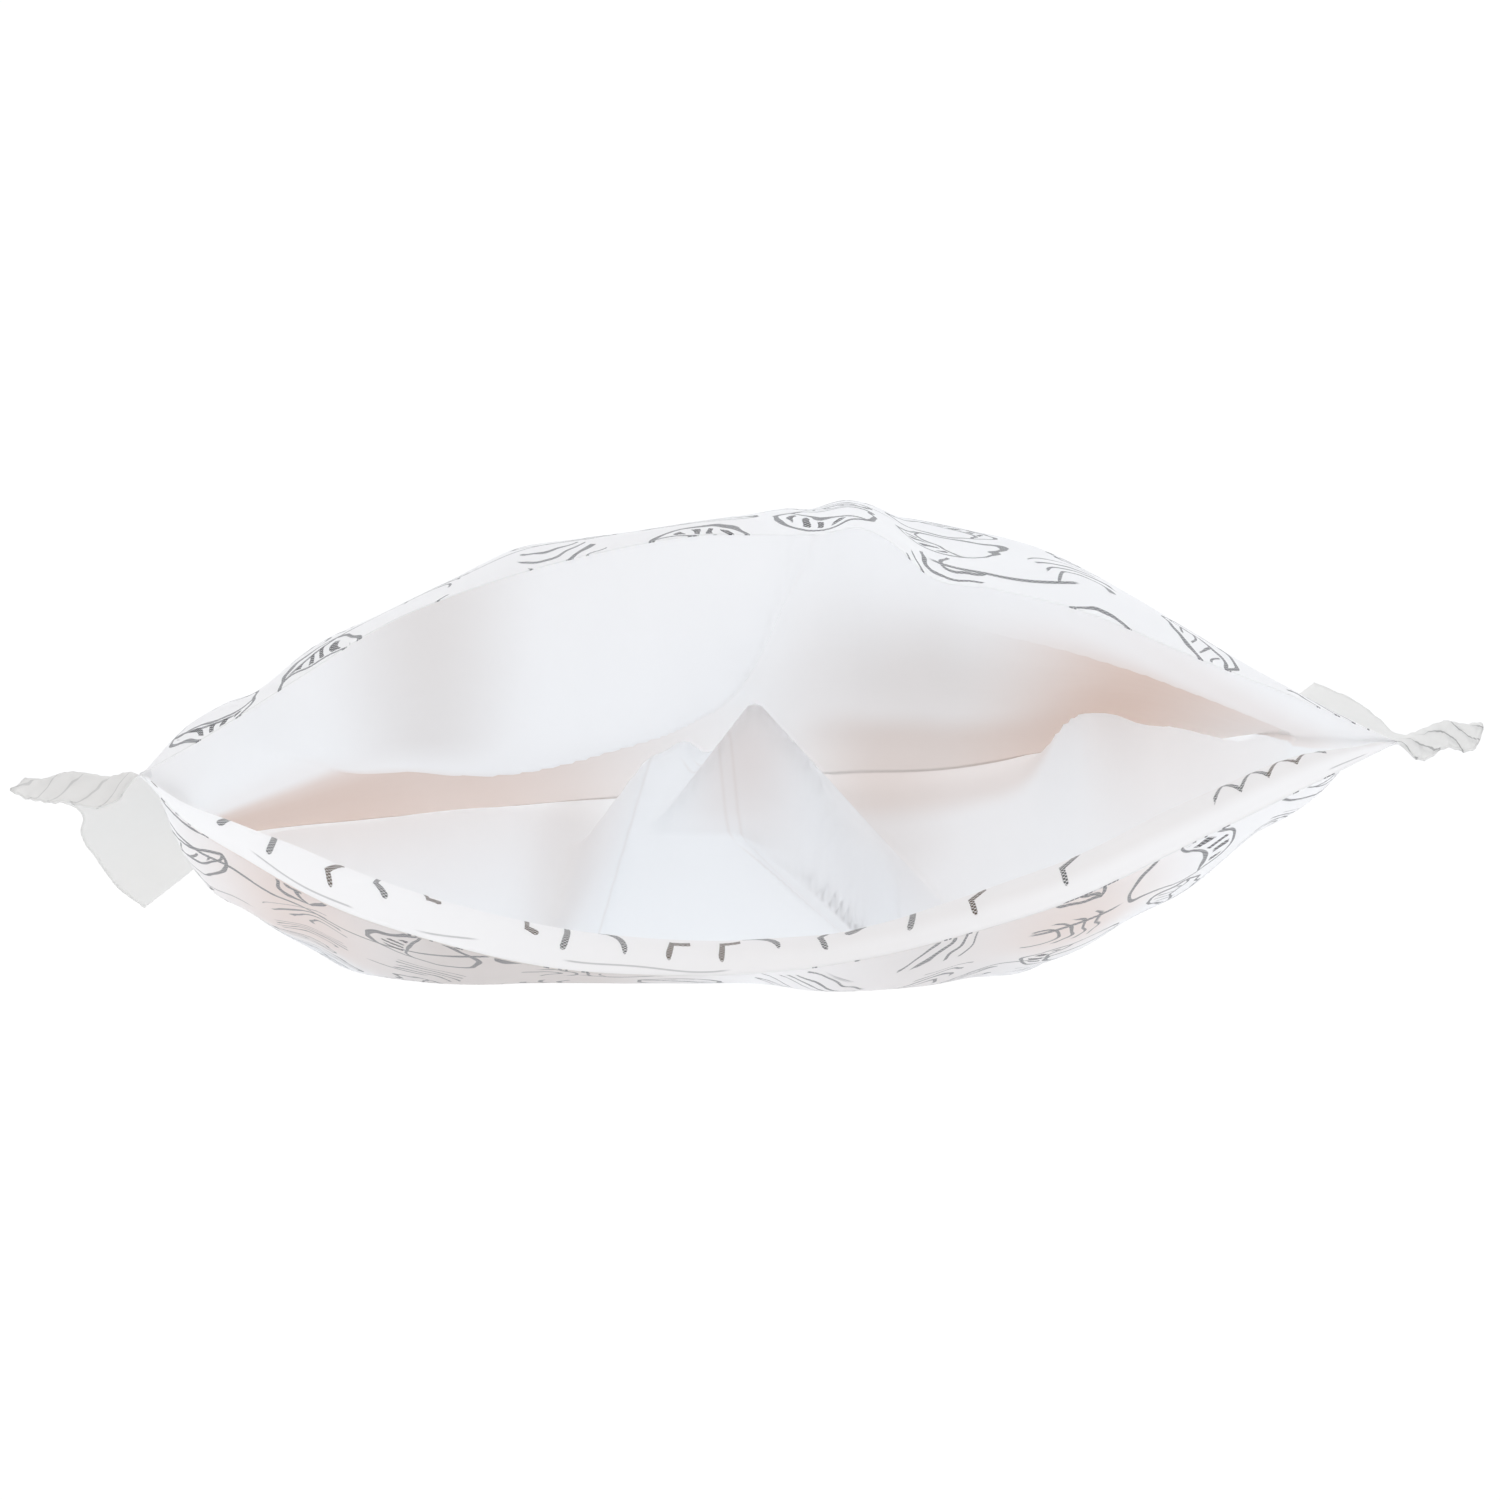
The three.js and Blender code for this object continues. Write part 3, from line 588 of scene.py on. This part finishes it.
# Painted shade on the outside of the upper panel, along the lip on the left.
lip_shade = (1 - lower) * deep.fade(30, 4) * bag_x.fade(6, -8) * 0.22
colour = start.node("ShaderNodeRGB")
colour.socket.default_value = FILM_WHITE
colour = colour.paint(weld, WELD_GREY).paint(belly_shade * front, SHADE_GREY)
colour = colour.paint(belly_warm_shade * front, WARM_SHADE).paint(lip_shade * front, SHADE_GREY)
colour = colour.paint((lines * printed).highest(leaf_lines), PRINT_GREY).paint(hatch * printed, HATCH_GREY)
film_surface(start, colour, flat, bag_y)

# Inside, the film is plain white, with shade painted into the folds. Along the lower lip the print shows
# dark, in short strokes, hooks and one zigzag. They are drawn stretched in depth, because the lip is seen
# very slantwise.
inner_film, start = new_look("inner_film_with_painted_shade")
wide, deep, lower, bag_x, bag_y = film_places(start)
upper = 1 - lower
front = 1 - start.node("ShaderNodeNewGeometry", None, out="Backfacing")
flat = wide.join(deep, lower * 50)
stroke_number = (wide / STROKE_SPACE).math("ROUND", wide / STROKE_SPACE)
stroke_turn, stroke_size, stroke_kind = wide.node(
    "ShaderNodeTexWhiteNoise", {"noise_dimensions": "1D"}, {"W": stroke_number + 4.0}, "Color").split()
stroke_side = wide - stroke_number * STROKE_SPACE - stroke_kind * 2.0 + 1.0
stroke = stroke_side.join((deep - 5.6 - stroke_size * 2.4) * 0.4)
stroke_x, stroke_y, _ = wide.node("ShaderNodeVectorRotate", {"rotation_type": "Z_AXIS"}, {
    "Vector": stroke, "Angle": stroke_turn * 2.2 + 0.5}).split()
stroke_end = (abs(stroke_x) - 0.9 - stroke_size * 1.1).highest(0.0)
bend = stroke_y + stroke_x * stroke_x * 0.16 - abs(stroke_x - 0.5) * stroke_kind.fade(0.55, 0.56) * 0.9
strokes = length(stroke_end, bend - 0.2).fade(0.36, 0.28)
strokes = strokes * stroke_kind.fade(0.14, 0.15) * wide.fade(47, 46.8)
zigzag = (deep * 0.62 - 2.2 - abs((wide + 0.6).repeat(3.1)) * 1.4 - (wide - 46) * 0.05).line(0.7)
zigzag = zigzag * wide.fade(47.5, 47.7) * wide.fade(60, 59.8)
strokes = strokes.highest(zigzag) * deep.fade(1.0, 1.2) * deep.fade(13, 12.6)
strokes = strokes * lower * (dot_screen(wide, deep).fade(0.16, 0.36) * 0.85 + 0.15)
hair = deep - 1.1 - (wide / 5.3).math("SINE", wide / 5.3) * 0.5
hair = (hair - (wide / 2.3).math("SINE", wide / 2.3 + 1) * 0.25).line(0.22)
hair = hair * lower * flat.noise(0.09, 0.0).fade(0.5, 0.54)


def crease(start_x, start_y, end_x, end_y, shift=0.0):
    """1 along a fold line pressed into the film between two places of the bag."""
    run_x, run_y = end_x - start_x, end_y - start_y
    span = math.hypot(run_x, run_y)
    from_x, from_y = bag_x - start_x, bag_y - start_y
    along_line = (from_x * run_x + from_y * run_y) / span
    off_line = (from_x * run_y - from_y * run_x) / span
    drawn = (abs(off_line) - shift).line(0.3, 0.25)
    return drawn * along_line.fade(-1, 4) * along_line.fade(span + 1, span - 4)


# Thin lines of painted shade along three fold lines of the facet.
crease_shade_lines = crease(-12.2, 171, -18.2, 98) + crease(-8, 168, -1, 136, 0.75) + crease(-1, 136, 14, 100, 0.75)
# Painted shade inside, in grey and warm tan: in the folds, along the lower lip's flare, at the far weld and
# deeper in. It is painted in by place and stays the same in any light.
seam_right = bag_x.fade(3, 18) * bag_x.fade(48, 36)
deep_shade = (
    upper * bag_y.fade(50, 190) * bag_x.fade(-12, 26) * 0.5
    + upper * bag_x.spot(22, 24) * bag_y.spot(135, 60) * 0.4
    + upper * (bag_x + bag_y * 0.05).spot(-32, 14) * bag_y.fade(5, 40) * bag_y.fade(150, 100) * 0.62
    + upper * bag_y.fade(150, 180) * bag_x.fade(0, -20) * 0.3
    + lower * bag_x.spot(-23, 8) * bag_y.fade(110, 150) * 0.42
    + lower * bag_x.spot(16, 14) * bag_y.fade(146, 170) * 0.4
    + lower * deep.fade(1.4, 4) * deep.fade(24, 14) * (bag_x.fade(-10, 40) * 0.3 + 0.02)
    + lower * crease_shade_lines * 0.3
    + lower * deep.fade(16, 5) * (bag_x.spot(0, 36) * 0.3 + bag_x.fade(-20, 30) * 0.2)
    + seam_right * (upper * bag_y.fade(174, 200) * 0.3 + lower * bag_y.fade(176, 194) * 0.13)
    + upper * bag_x.fade(20, -24) * deep.fade(120, 20) * 0.15)
seam_warm_shade = upper * bag_y.fade(176, 202) * bag_x.fade(42, 28) * 0.2 + lower * bag_y.fade(176, 194) * 0.2
warm_shade = (
    upper * bag_y.fade(134, 156) * bag_x.fade(-8, -38) * 0.47
    + upper * bag_y.fade(150, 175) * bag_x.fade(8, -14) * 0.12
    + upper * bag_y.fade(96, 144) * bag_x.fade(-38, -54) * 0.12
    + upper * bag_x.fade(26, 54) * bag_y.fade(20, 60) * 0.22
    + upper * bag_x.spot(46, 22) * bag_y.fade(66, 112) * 0.62
    + lower * bag_x.spot(16, 20) * bag_y.fade(96, 140) * 0.08
    + seam_right * seam_warm_shade
    + lower * bag_y.spot(145, 8) * bag_x.spot(-1, 10) * 0.32)
colour = start.node("ShaderNodeRGB")
colour.socket.default_value = FILM_WHITE
# Painted cool light: a pale blue tint on the lower panel's inside, away from the lip.
colour = colour.paint(lower * deep.fade(20, 60) * 0.5, COOL_LIGHT_TINT)
colour = colour.paint(deep_shade * front, SHADE_GREY).paint(warm_shade * front, WARM_SHADE)
colour = colour.paint(hair * 0.45, PRINT_GREY).paint(strokes * 0.95, HATCH_GREY)
colour = colour.paint(strokes * stroke_kind.fade(0.7, 0.72) * 0.7, PRINT_BROWN)
film_surface(start, colour, flat, bag_y)

# ---- Crimp ridges ---------------------------------------------------------------------------
# The sealing jaws press fine ridges into the side welds, about 1 mm apart, running along the bag. At
# the mouth the strip is crumpled as well. The whole film also lies slightly uneven.
ridge_tree = bpy.data.node_groups.new("crimp_ridges", "GeometryNodeTree")
ridge_tree.interface.new_socket("Geometry", in_out="OUTPUT", socket_type="NodeSocketGeometry")
ridge_tree.interface.new_socket("Geometry", in_out="INPUT", socket_type="NodeSocketGeometry")
RIDGES = {
    "Ridge pitch mm": 0.98, "Ridge height mm": 0.03, "Mouth ridge height mm": 0.05,
    "Crumple height mm": 0.8, "Crumple size per mm": 0.16, "Unevenness mm": 0.35, "Seed": 4.0,
}
for name in RIDGES:
    ridge_tree.interface.new_socket(name, in_out="INPUT", socket_type="NodeSocketFloat")
group_in = ridge_tree.nodes.new("NodeGroupInput")
socket = {s.name: Wire(ridge_tree, s) for s in group_in.outputs if s.name}
line_in = Wire(ridge_tree)
kind_at, place_at = [
    line_in.node("GeometryNodeInputNamedAttribute", {"data_type": "FLOAT_VECTOR"}, {"Name": name})
    for name in ("film_kind", "film_place")]
inner_kind, weld_mm, _ = kind_at.split()
_, along_mm, _ = place_at.split()
where = line_in.node("GeometryNodeInputPosition")
where = where.node("ShaderNodeVectorMath", {"operation": "SCALE"}, {0: where, "Scale": 1000.0})


def seeded_noise(size):
    return where.node("ShaderNodeTexNoise", {"noise_dimensions": "4D"},
                      {"Vector": where, "W": socket["Seed"], "Scale": size, "Detail": 2.0}) - 0.5


near_mouth = along_mm.fade(26, 6)
in_weld = weld_mm.fade(0.4, 1.6)
phase = weld_mm / socket["Ridge pitch mm"] * (2 * math.pi) + seeded_noise(0.12) * 5
ridge_height = socket["Ridge height mm"] + socket["Mouth ridge height mm"] * near_mouth
lift = phase.math("SINE", phase) * ridge_height * in_weld
crumple = seeded_noise(socket["Crumple size per mm"]) * socket["Crumple height mm"]
lift = lift + crumple * in_weld * near_mouth * 2
lift = lift + seeded_noise(0.05) * socket["Unevenness mm"] * along_mm.fade(0, 20)
upwards = line_in.node("ShaderNodeCombineXYZ", None, {"Z": lift / 1000})
moved = line_in.node("GeometryNodeSetPosition", None, {"Geometry": socket["Geometry"], "Offset": upwards})
whole = moved.node("GeometryNodeRealizeInstances", None, {0: moved})
dressed = whole.node("GeometryNodeSetMaterial", None, {"Geometry": whole, "Material": printed_film})
is_inside = inner_kind.math("GREATER_THAN", inner_kind, 0.75)
dressed = dressed.node("GeometryNodeSetMaterial", None, {
    "Geometry": dressed, "Selection": is_inside, "Material": inner_film})
group_out = ridge_tree.nodes.new("NodeGroupOutput")
ridge_tree.links.new(dressed.socket, group_out.inputs[0])

ridges = film.modifiers.new("crimp_ridges", "NODES")
ridges.node_group = ridge_tree
for item in ridge_tree.interface.items_tree:
    if item.in_out == "INPUT" and item.name in RIDGES:
        ridges[item.identifier] = RIDGES[item.name]
ready = film.evaluated_get(bpy.context.evaluated_depsgraph_get())
bag_mesh = bpy.data.meshes.new_from_object(ready)
bag_mesh.name = "bag_film_skin"
bag = bpy.data.objects.new("bag_film_skin", bag_mesh)
bpy.context.scene.collection.objects.link(bag)
bpy.data.objects.remove(film)
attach(bag, "root")
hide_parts("bag_film")

# ---- Floor, light and camera ----------------------------------------------------------------
# A white paper floor lit from all round, with one soft light above the camera. The floor is seen
# whiter than it lights the bag. The camera looks level into the mouth from 0.65 m, 25 mm above the
# floor, and takes in 150 mm at the mouth.
CAMERA_AWAY = 650.0
VIEW_WIDTH = 150.0
CAMERA_HEIGHT = 25.0
SENSOR = 36.0
FLOOR_HALF, FLOOR_Z = 4, -0.0004

floor_mesh = bpy.data.meshes.new("paper_floor")
floor_corners = [(x * FLOOR_HALF, y * FLOOR_HALF, FLOOR_Z) for x, y in ((-1, -1), (1, -1), (1, 1), (-1, 1))]
floor_mesh.from_pydata(floor_corners, [], [(0, 1, 2, 3)])
floor = bpy.data.objects.new("paper_floor", floor_mesh)
bpy.context.scene.collection.objects.link(floor)
paper = bpy.data.materials.new("white_paper")
paper.use_nodes = True
paper.node_tree.nodes.clear()
sheet = Wire(paper.node_tree)
grain = sheet.node("ShaderNodeTexCoord", None, out="Object").noise(900.0, 2.0)
paper_white = sheet.node("ShaderNodeRGB")
paper_white.socket.default_value = (0.46, 0.46, 0.46, 1)
paper_white = paper_white.paint(grain * 0.2, (0.50, 0.50, 0.50, 1))
matt = sheet.node("ShaderNodeBsdfPrincipled", None, {
    "Base Color": paper_white, "Roughness": 0.9, "Specular IOR Level": 0.1,
    "Emission Color": (1, 1, 1, 1), "Emission Strength": 0.7})
lit_white = sheet.node("ShaderNodeEmission", None, {"Color": (1, 1, 1, 1), "Strength": 1.03})
seen = sheet.node("ShaderNodeLightPath", None, out="Is Camera Ray") * 0.93
paper_look = sheet.node("ShaderNodeMixShader", None, {0: seen, 1: matt, 2: lit_white})
sheet.node("ShaderNodeOutputMaterial", None, {"Surface": paper_look})
floor_mesh.materials.append(paper)

studio = bpy.data.worlds.new("studio")
studio.use_nodes = True
studio.node_tree.nodes.clear()
sky = Wire(studio.node_tree)
_, away, _ = sky.node("ShaderNodeTexCoord", None, out="Generated").split()
room = sky.node("ShaderNodeBackground", None, {
    "Color": (0.985, 0.99, 1, 1), "Strength": away.fade(-0.7, 0.3) * 0.13 + 0.92})
sky.node("ShaderNodeOutputWorld", None, {"Surface": room})
bpy.context.scene.world = studio
bpy.context.scene.view_settings.view_transform = "Standard"
bpy.context.scene.cycles.diffuse_bounces = 12
bpy.context.scene.cycles.transmission_bounces = 24
bpy.context.scene.cycles.max_bounces = 24

softbox = bpy.data.lights.new("softbox", "AREA")
softbox.shape = "RECTANGLE"
softbox.size, softbox.size_y, softbox.energy = 0.5, 0.3, 0.2
softbox_object = bpy.data.objects.new("softbox", softbox)
softbox_object.location = (-0.2, -0.75, 0.4)
softbox_object.rotation_euler = (math.radians(60), 0, math.radians(-14))
bpy.context.scene.collection.objects.link(softbox_object)

camera = bpy.data.cameras.new("camera")
camera.sensor_width = SENSOR
camera.lens = SENSOR * CAMERA_AWAY / VIEW_WIDTH
camera.clip_start, camera.clip_end = 0.01, 50
camera_object = bpy.data.objects.new("camera", camera)
camera_object.location = (
    -BAG_MIDDLE[0] / 1000, -(CAMERA_AWAY + BAG_MIDDLE[1]) / 1000, CAMERA_HEIGHT / 1000)
camera_object.rotation_euler = (math.radians(90), 0, 0)
bpy.context.scene.collection.objects.link(camera_object)
bpy.context.scene.camera = camera_object
